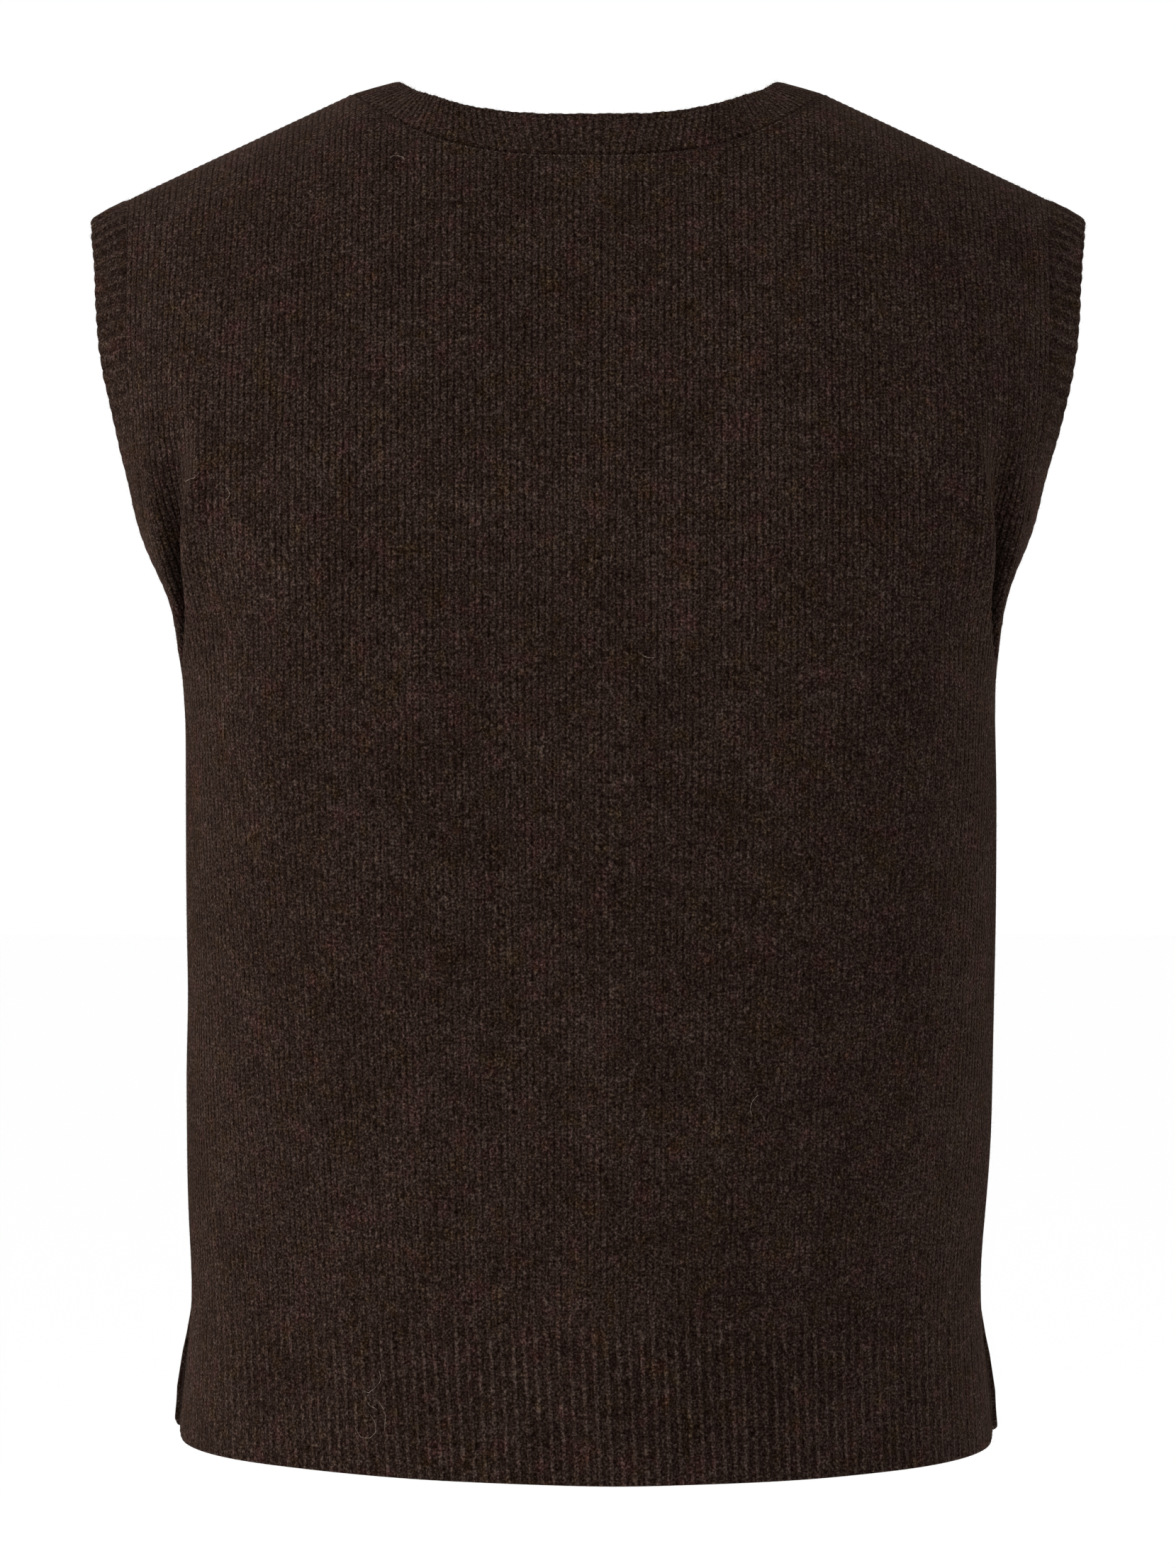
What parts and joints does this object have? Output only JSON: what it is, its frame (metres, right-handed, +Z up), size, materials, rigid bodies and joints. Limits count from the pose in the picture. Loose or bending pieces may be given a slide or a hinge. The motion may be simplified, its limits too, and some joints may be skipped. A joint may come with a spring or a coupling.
{
  "type": "knitted sweater vest",
  "caption": "Sleeveless crew-neck sweater vest in fine jersey knit, with ribbed neckband, armhole bands and hem and short side vents, hollow as worn",
  "frame": {"origin": "midway between the two high shoulder points, where the neckband meets the shoulder seams", "axes": "+Z up, -Y out of the wearer's chest (front), +Y out of the back, +X to the wearer's left"},
  "size_m": [0.426, 0.2327, 0.5832],
  "materials": {
    "back_jersey": "matte fuzzy melange jersey knit",
    "front_jersey": "matte fuzzy melange jersey knit",
    "neck_rib": "matte melange rib knit",
    "left_arm_rib": "matte melange rib knit",
    "right_arm_rib": "matte melange rib knit"
  },
  "bodies": {
    "root": {"back_panel": "back_jersey", "front_panel": "front_jersey", "neckband": "neck_rib", "armhole_band_left": "left_arm_rib", "armhole_band_right": "right_arm_rib"}
  },
  "joints": []
}
